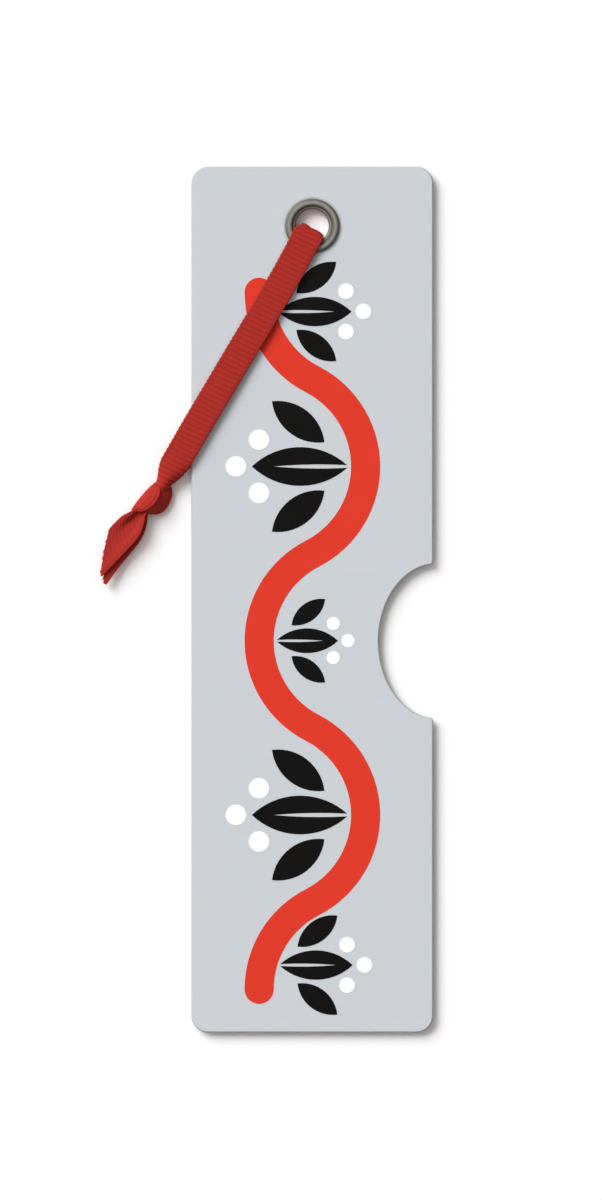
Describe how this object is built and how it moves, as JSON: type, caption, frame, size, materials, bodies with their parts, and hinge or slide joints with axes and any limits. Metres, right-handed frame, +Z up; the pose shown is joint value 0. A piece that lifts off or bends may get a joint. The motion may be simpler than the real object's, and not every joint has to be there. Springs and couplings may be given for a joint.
{
  "type": "bookmark",
  "caption": "Flat rectangular bookmark with a nose notch in one long edge, a vine print, a metal eyelet and a looped, knotted ribbon that swings about the eyelet.",
  "frame": {"origin": "on the table plane that the bookmark lies on, under the centre of the plate; the ribbon's back strand lies on that plane and the eyelet's rolled edge is half a millimetre above it", "axes": "+Z up out of the printed front face, +Y along the plate towards the eyelet end, +X towards the notched edge"},
  "size_m": [0.0686, 0.179, 0.0042],
  "materials": {
    "plate": "satin",
    "eyelet": "polished",
    "ink_red": "satin",
    "ink_black": "satin",
    "ink_white": "satin",
    "ribbon": "matte"
  },
  "bodies": {
    "plate_body": {"plate": "plate", "eyelet": "eyelet", "print_stem": "ink_red", "print_leaves": "ink_black", "print_berries": "ink_white"},
    "ribbon": {"ribbon_front_strand": "ribbon", "ribbon_back_strand": "ribbon"},
    "tassel": {"ribbon_knot": "ribbon", "ribbon_front_tail": "ribbon", "ribbon_back_tail": "ribbon"}
  },
  "joints": [
    {"name": "ribbon_swing", "type": "hinge", "parent": "plate_body", "child": "ribbon", "pos_m": [0, 0.0772, 0.0016], "axis": [0, 0, 1], "range_deg": [-300, 0]},
    {"name": "tassel_lift", "type": "hinge", "parent": "ribbon", "child": "tassel", "pos_m": [-0.03085, 0.02377, 0.0021], "axis": [-0.866, 0.5, 0], "range_deg": [0, 75]}
  ]
}
